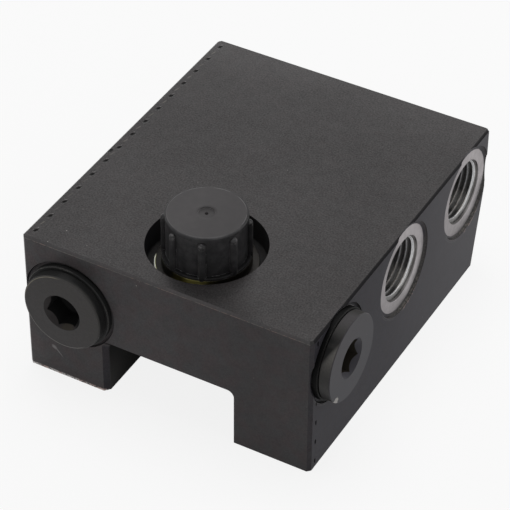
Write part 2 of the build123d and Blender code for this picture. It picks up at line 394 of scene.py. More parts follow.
def block_regions(f):
    """Where a point of the block lies. Each is 1 in its region and 0 elsewhere."""
    upward = f.step(f.normal_z, 0.5, 0.9)
    return SimpleNamespace(
        upward=upward,
        rightward=f.step(f.normal_x, 0.5, 0.9),
        forward=f.step(f.normal_y, -0.5, -0.9),
        top=f.times(upward, f.step(f.z, TOP - 0.3, TOP - 0.1)),
        right=f.times(f.step(f.normal_x, 0.9, 0.97), f.step(f.x, RIGHT - 0.3, RIGHT - 0.1)),
        right_chamfer=f.times(f.step(f.normal_x, 0.3, 0.5), f.step(f.normal_z, 0.3, 0.5)),
        front_chamfer=f.times(f.step(f.normal_y, -0.3, -0.5), f.step(f.normal_z, 0.3, 0.5)),
        lit_far_corner=f.times(upward, f.step(f.y, 15.0, BACK), f.step(f.x, 10.0, LEFT)),
        channel=f.times(
            f.band(f.x, CHANNEL_LEFT - 0.2, CHANNEL_RIGHT + 0.2, 0.1),
            f.step(f.z, CHANNEL_TOP + 0.5, CHANNEL_TOP + 0.3),
            f.step(f.y, FRONT + 1.2, FRONT + 1.9),
        ),
        roof_bevel=f.times(
            f.step(f.normal_z, -0.3, -0.5),
            f.step(f.y, FRONT + 2.5, FRONT + 1.8),
            f.step(f.x, 4.0, -8.0),
        ),
        counterbore=f.times(
            f.step(f.radius(*f.from_cap()), COUNTERBORE_RADIUS + 0.3, COUNTERBORE_RADIUS + 0.1),
            f.step(f.z, TOP - 0.2, TOP - 0.5),
            f.step(f.z, COUNTERBORE_FLOOR - 1.3, COUNTERBORE_FLOOR - 0.3),
        ),
    )


def face_tone(f, on, level):
    """Tone of the ground and blackened faces.

    The top's own tone is dark, since most of its look is reflection, and the front is lighter to the left.
    Painted light and shade: the right face is painted darker, the top's far corner lighter, and the front
    lighter to the left, at its left strip and in a band left of its middle, with a painted shade above the
    front plug.
    """
    base = f.mix(f.flecks(0.35, 0.65, 0.22, detail=3.0, shift=11.0), colour(66, 65, 66), colour(68, 63, 64))
    # Painted shade: the right face is painted darker.
    base = f.paint(base, on.rightward, 0.8, colour(49, 48, 54))
    base = f.scaled(base, level)
    base = f.scaled(base, f.between(on.top, 1.0, 0.12))
    # Painted light and shade on the front: lighter to the left, at its left strip and in a band left of its
    # middle, and a painted shade above the front plug.
    front_light_and_shade = f.add(
        0.03,
        f.times(f.step(f.x, 30.0, LEFT), 0.38),
        f.times(f.step(f.x, -40.0, -47.0), 0.22),
        f.times(f.band(f.x, -18.0, 4.0, 8.0), 0.08),
        f.times(f.spot(f.x, f.z, **SHADE_ABOVE_PLUG), -0.55),
    )
    # Painted light: the top's far corner is lighter.
    return f.scaled(base, f.add(1.0, f.times(on.lit_far_corner, 0.3), f.times(on.forward, front_light_and_shade)))


def shade_channel(f, on, base):
    """Channel under the block, a darker oxide with painted shade: it grows darker towards its roof and near
    black from 17 mm in, also at its open back end, and its bevelled mouth under the roof carries painted
    shade too.
    """
    tone = f.mix(f.step(f.z, CHANNEL_TOP, BOTTOM), colour(43, 42, 42), colour(90, 89, 88))
    # Painted shade: near black from 17 mm in.
    tone = f.mix(f.step(f.y, FRONT + 17.0, FRONT - 4.0), grey(5), tone)
    base = f.mix(on.channel, base, tone)
    # Painted shade on the bevel under the roof's front edge.
    return f.paint(base, on.roof_bevel, 0.85, grey(18))


def paint_chamfers(f, on, base):
    """Chamfers of the top, with a pale broken line under the front one."""
    base = f.paint(base, on.right_chamfer, 0.85, colour(22, 22, 23))
    base = f.paint(base, on.front_chamfer, 0.5, colour(78, 77, 77))
    line = f.times(
        f.band(f.z, TOP - 0.88, TOP - 0.68, 0.06),
        f.step(f.y, FRONT + 0.25, FRONT + 0.1),
        f.flecks(0.38, 0.5, 0.9, detail=4.0, roughness=0.7, shift=47.0),
        f.between(f.step(f.x, -25.0, -40.0), 0.6, 1.0),
    )
    reddish = f.flecks(0.5, 0.6, 0.6, detail=1.0, shift=49.0)
    return f.mix(line, base, f.mix(reddish, colour(116, 113, 110), colour(140, 122, 116)))


def paint_seats(f, base):
    """Bare turned seats of the ports and the blackened ring round them, with painted light by angle round
    each port: brighter bands on the bare seat, a lighter lower part of the ring, and a pale painted
    highlight on its wall. Also gives where they are bare.
    """
    station, height = f.from_port()
    from_axis = f.radius(station, height)
    around = f.angle(station, height)
    on_port_b = f.step(f.y, PORT_PITCH / 2 - 0.5, PORT_PITCH / 2 + 0.5)
    drop = f.between(on_port_b, *SEAT_BRIGHT_DROPS)
    from_middle = f.radius(f.offset(station, SEAT_BRIGHT_SHIFT), f.offset(height, drop))
    ragged = f.add(from_middle, f.swing(f.noise(0.8, detail=3.0, shift=2.0), 0.4))
    seat = f.times(
        f.step(ragged, SEAT_BRIGHT_RADIUS + 0.18, SEAT_BRIGHT_RADIUS),
        f.step(f.x, RIGHT - 0.3, RIGHT - 0.6),
        f.step(f.x, RIGHT - 1.6, RIGHT - 1.4),
    )
    bare = f.mix(f.noise(0.5, detail=3.0, shift=1.0), colour(130, 128, 129), colour(163, 160, 161))
    # Painted light: the bare seat is brighter in bands round its axis.
    lit = f.add(
        0.84,
        f.times(f.band(around, -76.0, 8.0, 12.0), 0.42),
        f.times(f.band(around, 12.0, 106.0, 10.0), 0.30),
        f.times(f.band(around, 154.0, 210.0, 14.0), 0.12),
    )
    base = f.mix(seat, base, f.scaled(bare, lit))

    ring = f.times(
        f.step(ragged, SEAT_BRIGHT_RADIUS, SEAT_BRIGHT_RADIUS + 0.18),
        f.step(from_axis, SEAT_RADIUS + 0.25, SEAT_RADIUS + 0.05),
        f.step(f.x, RIGHT - 0.05, RIGHT - 0.2),
        f.step(f.x, SEAT_FLOOR - 0.3, SEAT_FLOOR - 0.1),
    )
    texture = f.noise(1.6, detail=3.0, roughness=0.7, shift=35.0)
    tone = f.mix(f.step(texture, 0.4, 0.6), colour(72, 71, 71), colour(92, 90, 88))
    # Painted light on the lower part of the ring, and a pale painted highlight on its wall below.
    base = f.paint(base, f.times(ring, f.band(around, -118.0, 6.0, 12.0)), 0.85, tone)
    wall = f.times(
        ring,
        f.step(from_axis, SEAT_RADIUS - 0.45, SEAT_RADIUS - 0.15),
        f.band(around, -96.0, -44.0, 6.0),
        f.step(texture, 0.44, 0.56),
    )
    return f.paint(base, wall, 0.34, colour(150, 144, 136)), seat


def wear_rims(f, on, base):
    """Bare metal along the lower right part of each seat's rim, and a paler line along its lower part."""
    offsets = f.from_port()
    from_axis = f.radius(*offsets)
    around = f.angle(*offsets)
    inner = f.step(f.math("ABSOLUTE", f.offset(from_axis, SEAT_RADIUS + 0.07)), 0.16, 0.06)
    outer = f.step(f.math("ABSOLUTE", f.offset(from_axis, SEAT_RADIUS + 0.6)), 0.16, 0.06)
    lower_right = f.times(f.step(around, -92.8, -85.9), f.step(around, -48.7, -57.3))
    lower = f.times(f.step(around, -154.7, -143.2), f.step(around, -103.1, -114.6))
    broken = f.flecks(0.42, 0.55, 0.9, detail=3.0, shift=31.0)
    bright = f.times(lower_right, f.most(inner, f.times(outer, 0.8)), broken, on.right)
    pale = f.times(lower, f.most(f.times(inner, 0.7), f.times(outer, 0.35)), on.right)
    base = f.mix(bright, base, colour(165, 145, 135))
    return f.paint(base, pale, 0.5, colour(120, 118, 118))


def dents(f):
    """Oval dents along the left edge of the top and the front edge of the right face."""
    along_top = f.repeated(f.y, FRONT + TOP_DENTS["first"], TOP_DENTS["pitch"])
    on_top = f.times(
        f.spot(f.x, along_top, (LEFT + TOP_DENTS["inset"], 0.0), **TOP_DENT),
        f.step(f.normal_z, 0.8, 0.9),
        f.step(f.z, TOP - 1.0, TOP - 0.5),
    )
    along_side = f.repeated(f.z, SIDE_DENTS["first"], SIDE_DENTS["pitch"])
    on_side = f.times(
        f.spot(f.y, along_side, (FRONT + SIDE_DENTS["inset"], 0.0), **SIDE_DENT),
        f.step(f.normal_x, 0.8, 0.9),
        f.step(f.x, RIGHT - 0.5, RIGHT - 0.2),
    )
    return f.most(on_top, on_side)


def dashes(f):
    """Dashes between the dents of the top, each with a strength of its own."""
    along = f.repeated(f.y, FRONT + TOP_DENTS["first"] + TOP_DENTS["pitch"] / 2, TOP_DENTS["pitch"])
    return f.times(
        f.spot(f.x, along, (LEFT + DASH_INSET, 0.0), **DASH),
        f.between(f.flecks(0.4, 0.6, 0.25, detail=1.0, shift=21.0), 0.45, 1.0),
        f.step(f.normal_z, 0.8, 0.9),
    )


def mark_edges(f, base, dented, nick):
    """Dark dents with pale dashes between them, and the nick in the left edge of the top."""
    worked = f.between(f.flecks(0.35, 0.6, 0.7, shift=71.0), 0.72, 0.97)
    base = f.mix(f.times(dented, worked), base, grey(8))
    base = f.paint(base, dashes(f), 0.35, colour(120, 116, 108))
    return f.paint(base, nick, 0.9, grey(20))


def bare_foot_edge(f):
    """1 on the flakes along the lower front edge of the left foot."""
    return f.times(
        f.step(f.radius(f.offset(f.y, FRONT), f.z), 1.0, 0.45),
        f.step(f.x, CHANNEL_LEFT + 0.5, CHANNEL_LEFT - 0.5),
        f.flecks(0.42, 0.52, 2.2, detail=3.0, roughness=0.7, shift=41.0),
    )


def wear_block(f, on, base, foot_bare):
    """Chips along the sharp edges, the foot's flakes, the scratch on its front, and small specks."""
    chips = f.flecks(0.60, 0.68, 0.9, detail=4.0, roughness=0.7, shift=5.0)
    base = f.paint(base, f.times(f.edges(0.35), chips), 0.35, colour(150, 138, 130))
    coppery = f.times(f.flecks(0.45, 0.6, 0.4, detail=1.0, shift=43.0), 0.6)
    base = f.mix(foot_bare, base, f.mix(coppery, colour(186, 182, 180), colour(165, 132, 122)))
    scratch = f.times(
        f.most(f.times(f.spot(f.x, f.z, **SCRATCH), 0.8), f.times(f.spot(f.x, f.z, **BLOTCH), 0.9)),
        on.forward,
        f.step(f.y, FRONT + 0.3, FRONT + 0.1),
        f.flecks(0.22, 0.42, 1.5, detail=3.0, shift=61.0),
    )
    base = f.paint(base, scratch, 0.75, colour(150, 148, 148))
    base = f.paint(base, f.specks(0.16, 0.22, 0.55, 51.0), 0.3, colour(150, 148, 146))
    for place, size in SPECKS:
        speck = f.step(f.measured("DISTANCE", f.place, place), size, size / 2)
        base = f.paint(base, speck, 0.8, colour(168, 164, 160))
    return base


def block_reflection(f, on, level, dented, nick):
    """Specular level: high on the top, which mirrors the studio, and low where little light comes in."""
    mirrored = f.add(
        0.46,
        f.times(f.step(f.y, 38.0, BACK), 0.13),
        f.times(f.step(f.add(f.x, f.times(f.y, -0.6)), 30.0, 70.0), -0.05),
        f.times(f.spot(f.x, f.y, **FLAT_MIDDLE), -0.035),
    )
    # The top's far corner also gets a painted sheen.
    sheen = f.add(f.times(f.add(level, f.times(on.lit_far_corner, 0.12)), mirrored), -0.12)
    return f.times(
        f.add(
            0.12,
            f.times(on.rightward, f.between(f.step(f.y, -20.0, BACK), -0.065, 0.045)),
            f.times(on.top, sheen),
        ),
        f.between(f.most(on.channel, on.counterbore, dented), 1.0, 0.1),
        f.between(f.most(nick, on.roof_bevel), 1.0, 0.2),
        f.between(on.right_chamfer, 1.0, 0.3),
        # Painted shade: less reflection on the top in front of the counterbore, where the cap's shade
        # falls.
        f.between(f.times(f.spot(f.x, f.y, **CAP_SHADE_FRONT), on.top), 1.0, 0.58),
    )


def blackened_steel():
    """Ground and blackened steel, bare on the port seats, with a grain, dents, specks and wear, and painted
    light and shade on its faces, seats, channel and counterbore.
    """
    f = Finish("blackened_steel")
    on = block_regions(f)
    grain = f.noise(1.9, roughness=0.6)
    level = f.add(
        1.0,
        f.swing(grain, f.between(on.upward, 0.8, 1.8)),
        f.swing(f.noise(0.35, shift=7.0), f.between(on.upward, 0.28, 0.36)),
        f.swing(f.noise(0.05, shift=3.0), 0.3),
    )
    dented = dents(f)
    nick = f.times(f.spot(f.x, f.y, **NICK), f.step(f.z, TOP - 1.5, TOP - 1.0))
    foot_bare = bare_foot_edge(f)

    base = face_tone(f, on, level)
    base = shade_channel(f, on, base)
    base = paint_chamfers(f, on, base)
    base, seat = paint_seats(f, base)
    # Painted shade on the counterbore's wall and floor.
    base = f.paint(base, on.counterbore, 0.75, grey(44))
    base = mark_edges(f, base, dented, nick)
    base = wear_rims(f, on, base)
    base = wear_block(f, on, base, foot_bare)
    return f.set(
        base=base,
        metallic=f.times(f.most(seat, foot_bare), 0.75),
        roughness=f.add(
            0.5,
            f.times(seat, -0.08),
            f.times(on.top, -0.20),
            f.swing(grain, f.between(on.top, 0.10, 0.03)),
        ),
        tint=BLACKENED_TINT,
        specular=block_reflection(f, on, level, dented, nick),
        normal=f.bump(f.add(f.times(grain, f.between(on.top, 0.02, 0.007)), f.times(dented, -0.25))),
    )


def side_collar_tone(f, turn, behind):
    """Side of the right face's plug: bands of light and shade, one of which slants across it."""
    slanted = f.add(turn, f.times(behind, -10.0))
    dark = f.mix(f.step(behind, 1.2, 3.2), colour(38, 37, 37), grey(24))
    glint = f.times(f.step(slanted, -13.0, 3.0), f.step(turn, 44.0, 10.0))
    tone = f.mix(f.band(turn, -56.0, -28.0, 9.0), colour(57, 56, 55), colour(70, 68, 69))
    tone = f.mix(f.band(turn, -14.0, 2.0, 9.0), tone, dark)
    tone = f.mix(f.times(f.step(slanted, -4.0, -14.0), f.step(turn, -2.0, 5.0)), tone, grey(24))
    tone = f.paint(tone, glint, 0.95, colour(95, 93, 90))
    return f.paint(tone, f.step(turn, 56.0, 80.0), 0.7, colour(34, 33, 33))


def front_collar_tone(f, turn, behind):
    """Side of the front face's plug, painted in bands of light and shade, with a painted highlight on the
    rim at its upper right.
    """
    tone = f.mix(f.band(turn, 32.0, 50.0, 8.0), grey(37), grey(46))
    rim = f.times(f.step(behind, 1.5, 0.5), f.band(turn, -20.0, 30.0, 14.0))
    tone = f.paint(tone, rim, 0.8, colour(70, 69, 68))
    return f.mix(f.step(turn, -70.0, -90.0), tone, colour(46, 45, 45))


def front_collar_edge(f, base, from_axis, turn, behind, on_front_plug):
    """Chamfer of the front plug's collar, painted with highlights: lighter all round, gold-tinted at its
    upper left, with a pale line at its lower left.
    """
    past_face = f.offset(from_axis, FRONT_COLLAR_FACE_RADIUS)
    chamfer = f.step(behind, 0.42, 0.36)
    base = f.paint(base, f.times(f.step(past_face, -0.08, 0.02), chamfer), 0.7, colour(66, 65, 64))
    golden_highlight = f.times(
        f.band(past_face, -0.12, 0.06, 0.05),
        chamfer,
        f.band(turn, 50.0, 125.0, 8.0),
        on_front_plug,
    )
    base = f.paint(base, golden_highlight, 0.9, colour(134, 129, 114))
    pale = f.times(
        f.step(f.normal_y, -0.5, -0.8),
        f.band(past_face, -0.30, -0.16, 0.04),
        f.most(f.step(turn, 140.0, 150.0), f.step(turn, -95.0, -110.0)),
        on_front_plug,
    )
    return f.paint(base, pale, 0.8, colour(158, 155, 151))


def plug_steel():
    """Turned and blackened steel of the screw plugs: satin faces, darker sides and dark sockets, with
    painted light and shade on the collars' sides and edges and painted shade in the sockets.
    """
    f = Finish("plug_steel")
    grain = f.noise(1.7)
    right_face = f.step(f.normal_x, 0.5, 0.8)
    front_face = f.step(f.normal_y, -0.5, -0.8)
    on_side_plug = f.step(f.x, BETWEEN_PLUGS - 0.5, BETWEEN_PLUGS + 0.5)

    front_across = f.offset(f.x, FRONT_PLUG_CENTRE.x)
    front_height = f.offset(f.z, FRONT_PLUG_CENTRE.z)
    front_turn = f.angle(front_across, front_height, FRONT_PLUG_TOWARDS)
    front_from_axis = f.radius(front_across, front_height)
    front_behind = f.offset(f.y, front_plug_low.y)
    side_across = f.offset(f.y, SIDE_PLUG_CENTRE.y)
    side_height = f.offset(f.z, SIDE_PLUG_CENTRE.z)
    side_turn = f.angle(side_across, side_height, SIDE_PLUG_TOWARDS)
    side_from_axis = f.radius(side_across, side_height)
    side_behind = f.math("SUBTRACT", side_plug_high.x, f.x)

    slope = f.step(f.add(front_across, front_height), 14.0, -12.0)
    front = f.mix(slope, colour(70, 68, 67), colour(73, 71, 71))
    front = f.mix(front_face, front_collar_tone(f, front_turn, front_behind), front)
    side = f.mix(f.step(side_height, -10.0, 12.0), colour(53, 52, 57), colour(58, 56, 60))
    side = f.mix(right_face, side_collar_tone(f, side_turn, side_behind), side)
    base = f.scaled(f.mix(on_side_plug, front, side), f.between(grain, 0.76, 1.24))

    # Painted shade in the front socket, and a painted light on the lower right of its countersink.
    in_front_socket = f.times(
        f.step(front_from_axis, SOCKET_RADIUS + 0.1, SOCKET_RADIUS - 0.05),
        f.step(front_behind, 0.03, 0.12),
    )
    shaded = f.most(
        f.step(f.normal_y, -0.5, -0.3),
        f.step(front_behind, 2.5, 3.0),
        f.band(front_turn, -85.0, 62.0, 10.0),
    )
    countersink = f.mix(f.band(front_turn, -140.0, -98.0, 8.0), colour(60, 57, 57), colour(70, 66, 60))
    base = f.mix(in_front_socket, base, f.mix(shaded, countersink, grey(38)))
    # Painted shade in the side socket, darker and browner further in.
    in_side_socket = f.times(
        f.step(side_from_axis, SOCKET_RADIUS + 0.1, SOCKET_RADIUS - 0.05),
        f.step(side_behind, 0.03, 0.12),
        on_side_plug,
    )
    deep_shade = f.most(f.step(f.normal_x, 0.5, 0.3), f.step(side_behind, 2.5, 3.0))
    base = f.mix(in_side_socket, base, f.mix(deep_shade, colour(72, 71, 76), colour(56, 53, 47)))
    hollow = f.most(f.times(in_front_socket, shaded), f.times(in_side_socket, deep_shade))

    wear_and_shade = f.times(f.edges(0.18), f.outside(f.most(in_front_socket, in_side_socket)))
    broken = f.between(f.flecks(0.4, 0.6, 0.3, detail=3.0, shift=9.0), 0.25, 1.0)
    base = f.paint(base, f.times(wear_and_shade, broken), 0.25, colour(120, 116, 112))
    base = front_collar_edge(f, base, front_from_axis, front_turn, front_behind, f.outside(on_side_plug))
    from_chip = f.measured("DISTANCE", f.place, PLUG_CHIP_PLACE)
    ragged = f.add(from_chip, f.swing(f.noise(1.5, shift=4.0), 1.2))
    base = f.paint(base, f.step(ragged, 1.6, 1.2), 0.9, colour(165, 162, 158))
    base = f.paint(base, f.specks(0.2, 0.2, 0.5, 57.0), 0.4, colour(150, 148, 146))
    return f.set(
        base=base,
        roughness=f.between(grain, 0.44, 0.52),
        specular=f.times(
            f.between(f.most(right_face, front_face), 0.05, 0.13),
            f.between(hollow, 1.0, 0.15),
        ),
        normal=f.bump(f.times(grain, 0.01)),
    )


def plain_zinc():
    """Zinc of the plugs' seals, painted dark as painted shade, the side plug's darker than the front's,
    with a broken light rim as a painted highlight.
    """
    f = Finish("plain_zinc")
    grain = f.noise(2.0)
    on_side_plug = f.step(f.x, BETWEEN_PLUGS - 0.5, BETWEEN_PLUGS + 0.5)
    # Painted shade: both seals dark, the side plug's darker.
    base = f.mix(on_side_plug, f.mix(grain, grey(34), grey(44)), f.mix(grain, grey(17), grey(24)))
    # Painted highlight: a broken light line on the edges.
    rim = f.times(f.edges(0.14), f.flecks(0.34, 0.5, 0.12, detail=1.0, shift=13.0))
    base = f.paint(base, rim, f.between(on_side_plug, 0.85, 0.3), colour(158, 156, 152))
    return f.set(
        base=base,
        roughness=0.5,
        specular=f.between(on_side_plug, 0.12, 0.03),
        normal=f.bump(f.times(grain, 0.01)),
    )


def nipple_steel():
    """Yellow passivated steel of the nipple, painted yellow and lit only on an arc at the front of its
    collar, with a painted highlight at the middle of that arc, and painted shade in dark brown-grey round
    the rest, darker still to the left.
    """
    f = Finish("nipple_steel")
    grain = f.noise(2.0)
    turn = f.angle(*f.from_cap(), NIPPLE_TOWARDS)
    lit = f.mix(grain, colour(58, 54, 30), colour(76, 70, 44))
    # Painted light on an arc at the front, and painted shade round the rest.
    base = f.mix(f.band(turn, -16.0, 40.0, 9.0), colour(30, 27, 22), lit)
    collar_highlight = f.mix(grain, colour(165, 156, 88), colour(190, 182, 112))
    base = f.mix(f.band(turn, 2.0, 28.0, 7.0), base, collar_highlight)
    base = f.scaled(base, f.between(f.band(turn, -105.0, -40.0, 8.0), 1.0, 0.5))
    return f.set(
        base=base,
        metallic=0.3,
        roughness=0.4,
        specular=0.3,
        normal=f.bump(f.times(grain, 0.01)),
    )


def yellow_zinc():
    """Yellow passivated zinc, yellow only on an arc at the front and painted grey round the rest as painted
    shade, darker still to the left, with a painted glint at the left of its rim.
    """
    f = Finish("yellow_zinc")
    grain = f.noise(0.6, detail=3.0)
    offsets = f.from_cap()
    from_rim = f.offset(f.radius(*offsets), NIPPLE_SEAL_FACE_RADIUS)
    turn = f.angle(*offsets, NIPPLE_TOWARDS)
    # Painted shade: grey, and darker still to the left.
    wear_and_shade = f.mix(grain, colour(36, 34, 32), colour(52, 50, 48))
    wear_and_shade = f.scaled(wear_and_shade, f.between(f.band(turn, -105.0, -42.0, 8.0), 1.0, 0.65))
    yellow = f.mix(grain, colour(120, 112, 30), colour(150, 138, 62))
    base = f.mix(f.band(turn, -20.0, 18.0, 8.0), wear_and_shade, yellow)
    # Painted highlight: a glint with a pale fringe at the left of the rim.
    at_left = f.band(turn, -70.0, -45.0, 4.0)
    glint = f.times(at_left, f.step(from_rim, -0.16, -0.04))
    fringe = f.times(at_left, f.step(from_rim, -0.32, -0.20))
    base = f.paint(base, fringe, 0.6, colour(150, 150, 90))
    base = f.mix(glint, base, colour(252, 252, 240))
    return f.set(
        base=base,
        metallic=f.between(glint, 0.5, 0.0),
        roughness=0.35,
        normal=f.bump(f.times(grain, 0.01)),
    )


def cap_side_tone(f, patches, turn, flange_top_shade):
    """Sides of the cap, painted with light and shade: lighter at the front, to the right and towards the
    bottom, darker at both ends of what shows, and painted shade on the flange's top.
    """
    tone = f.mix(f.step(patches, 0.2, 0.8), colour(34, 34, 35), colour(56, 55, 56))
    raised = f.step(f.z, cap_low.z + 2.0, CAP_TOP - 1.0)
    at_front = f.step(f.math("ABSOLUTE", turn), 50.0, 25.0)
    to_right = f.times(f.band(turn, 52.0, 92.0, 10.0), raised)
    for factor in (
        f.between(at_front, 1.15, 1.4),
        f.between(raised, 1.45, 0.95),
        f.between(to_right, 1.0, 1.7),
        f.between(f.step(turn, 96.0, 112.0), 1.0, 0.55),
        f.between(f.step(turn, -58.0, -75.0), 1.0, 0.7),
        f.between(flange_top_shade, 1.0, 0.3),
    ):
        tone = f.scaled(tone, factor)
    return tone


def cap_plastic():
    """Moulded plastic: a satin lid with a dimple, darker and glossier sides, and thin light rims, with
    painted light and shade: painted highlights on the rims, the lid's shoulder, the rib tops and the
    dimple's wall, and painted shade on the lid's right part and the dimple's back side.
    """
    f = Finish("cap_plastic")
    grain = f.noise(3.0)
    patches = f.noise(0.35, detail=3.0, roughness=0.6, shift=17.0)
    across, along = f.from_cap()
    from_axis = f.radius(across, along)
    turn = f.angle(across, along, CAP_TOWARDS)
    lid = f.times(
        f.step(f.z, CAP_TOP - 0.9, CAP_TOP - 0.6),
        f.step(from_axis, LID_RADIUS + 0.02, LID_RADIUS - 0.14),
    )
    low = f.step(f.z, CAP_TOP - 5.0, CAP_TOP - 6.0)
    flange_top_shade = f.times(f.step(f.normal_z, 0.5, 0.8), low)
    top = f.mix(patches, colour(38, 36, 37), colour(56, 53, 54))
    # Painted shade: the lid darker on its right part.
    top = f.scaled(top, f.between(f.step(across, -4.0, 10.0), 1.0, 0.84))
    base = f.mix(lid, cap_side_tone(f, patches, turn, flange_top_shade), top)
    base = f.scaled(base, f.between(grain, 0.86, 1.14))

    # Painted highlights: thin light lines on the edges, strongest on the flange at the front.
    rims = f.times(f.edges(0.2), f.flecks(0.40, 0.58, 0.3, detail=3.0, shift=23.0))
    base = f.paint(base, rims, f.between(lid, 0.6, 0.1), colour(105, 103, 103))
    flange_rim = f.times(rims, low, f.band(turn, -50.0, 70.0, 10.0))
    base = f.paint(base, flange_rim, 0.9, colour(176, 175, 178))
    # Painted highlight on the lid's shoulder.
    shoulder = f.times(
        lid,
        f.band(from_axis, LID_RADIUS - 0.28, LID_RADIUS - 0.15, 0.06),
        f.flecks(0.36, 0.56, 0.22, detail=3.0, shift=33.0),
    )
    base = f.paint(base, shoulder, f.between(f.step(along, -2.0, 4.0), 0.35, 0.8), colour(112, 110, 111))

    # Painted shade on the dimple's back side.
    slope = f.add(f.times(across, -0.45), f.times(along, 0.9))
    dimple = f.times(
        lid,
        f.step(from_axis, DIMPLE_RADIUS + 1.0, DIMPLE_RADIUS - 0.1),
        f.step(slope, -0.8, 2.4),
    )
    base = f.scaled(base, f.between(dimple, 1.0, 0.6))
    # Painted highlights on the rib tops.
    rib_tops = f.times(
        f.step(from_axis, RIB_RING_RADIUS, RIB_RING_RADIUS + 0.4),
        f.step(f.z, CAP_TOP - 4.0, CAP_TOP - 3.0),
        f.flecks(0.46, 0.6, 1.3, detail=3.0, shift=27.0),
    )
    base = f.paint(base, rib_tops, 0.5, colour(110, 108, 108))
    # Painted light on the dimple's wall.
    dimple_wall = f.times(
        f.step(f.z, CAP_TOP - 0.95, CAP_TOP - 0.9),
        f.step(from_axis, DIMPLE_RADIUS + 1.0, DIMPLE_RADIUS + 0.9),
        f.step(f.normal_z, 0.96, 0.7),
    )
    base = f.paint(base, dimple_wall, 0.8, colour(110, 108, 108))
    gate = f.times(lid, f.step(from_axis, GATE_RADIUS + 0.26, GATE_RADIUS + 0.06))
    base = f.paint(base, gate, 0.8, colour(16, 15, 15))
    hollow = f.times(f.step(from_axis, DIMPLE_RADIUS + 1.1, DIMPLE_RADIUS - 0.9), -0.32)

    side_specular = 0.15
    lid_specular = f.between(f.step(across, -6.0, 6.0), 0.41, 0.37)
    reflection = f.add(f.times(f.offset(lid_specular, side_specular), lid), side_specular)
    return f.set(
        base=base,
        roughness=f.add(f.between(lid, 0.38, 0.62), f.swing(grain, 0.12)),
        specular=f.times(
            reflection,
            f.between(dimple, 1.0, 0.7),
            f.between(gate, 1.0, 0.3),
            f.between(flange_top_shade, 1.0, 0.35),
        ),
        normal=f.bump(f.add(f.times(grain, 0.02), f.times(hollow, lid))),
    )


def thread_steel():
    """Blackened thread of the open ports, bare on its crests and on the countersink, with painted light on
    one side round the axis: highlights on the crests and flanks, and a lit part of the lip.
    """
    f = Finish("thread_steel")
    offsets = f.from_port()
    from_axis = f.radius(*offsets)
    around = f.angle(*offsets)
    depth = f.math("SUBTRACT", SEAT_FLOOR, f.x)
    cone = f.math("MULTIPLY_ADD", depth, -PORT_THREAD["taper"], PORT_THREAD["mouth"])
    off_cone = f.math("ABSOLUTE", f.offset(from_axis, cone))
    on_cone = f.times(
        f.step(off_cone, 0.08, 0.03),
        f.step(from_axis, PORT_THREAD["major"] - 0.14, PORT_THREAD["major"] - 0.39),
    )
    on_crest = f.step(from_axis, PORT_THREAD["minor"] + 0.12, PORT_THREAD["minor"] + 0.05)
    bare = f.most(on_cone, on_crest)
    # Painted highlight on the crests on one side.
    lit_crest = f.times(on_crest, f.band(around, -84.0, -34.0, 14.0))

    chatter = f.noise(1.2, detail=3.0, roughness=0.6)
    ridge_pitch = 0.34
    ridges = f.math("SINE", f.times(f.add(depth, f.times(chatter, 0.12)), math.tau / ridge_pitch))
    steel = f.mix(chatter, colour(172, 172, 173), colour(226, 226, 227))
    steel = f.scaled(steel, f.add(1.0, f.times(on_cone, ridges, 0.3)))
    crest_highlight = f.mix(f.step(chatter, 0.35, 0.6), colour(206, 198, 188), colour(246, 242, 236))
    steel = f.mix(lit_crest, steel, crest_highlight)
    flank = f.mix(chatter, colour(104, 103, 102), colour(132, 131, 130))
    # Painted light on the flanks on one side.
    flank = f.scaled(flank, f.add(1.0, f.times(f.band(around, -74.0, -42.0, 10.0), 1.4)))
    base = f.mix(bare, flank, steel)
    lip = f.step(depth, 0.98, 0.78)
    base = f.mix(lip, base, f.mix(chatter, colour(66, 63, 62), colour(88, 85, 83)))
    # Painted light on one side of the lip.
    lit_lip = f.mix(chatter, colour(130, 127, 126), colour(168, 165, 163))
    base = f.mix(f.times(lip, f.band(around, -76.0, 14.0, 14.0)), base, lit_lip)
    plain = f.most(f.times(lip, 0.6), f.times(on_crest, f.between(lit_crest, 0.6, 1.0)))
    return f.set(
        base=base,
        metallic=f.offset(f.between(bare, 0.6, 0.75), f.times(plain, 0.75)),
        roughness=f.between(bare, 0.42, 0.52),
        specular=0.2,
        normal=f.bump(f.times(chatter, 0.02)),
    )


def thread_radius(turn, size):
    """Radius of an internal thread's wall, turn being the place along its pitch."""
    flank = (1 - THREAD_CREST - THREAD_ROOT) / 2
    along = turn % 1.0
    rise = min(max((along - THREAD_CREST) / flank, 0.0), 1.0)
    fall = min((1.0 - along) / flank, 1.0)
    return size["minor"] + (size["major"] - size["minor"]) * min(rise, fall)


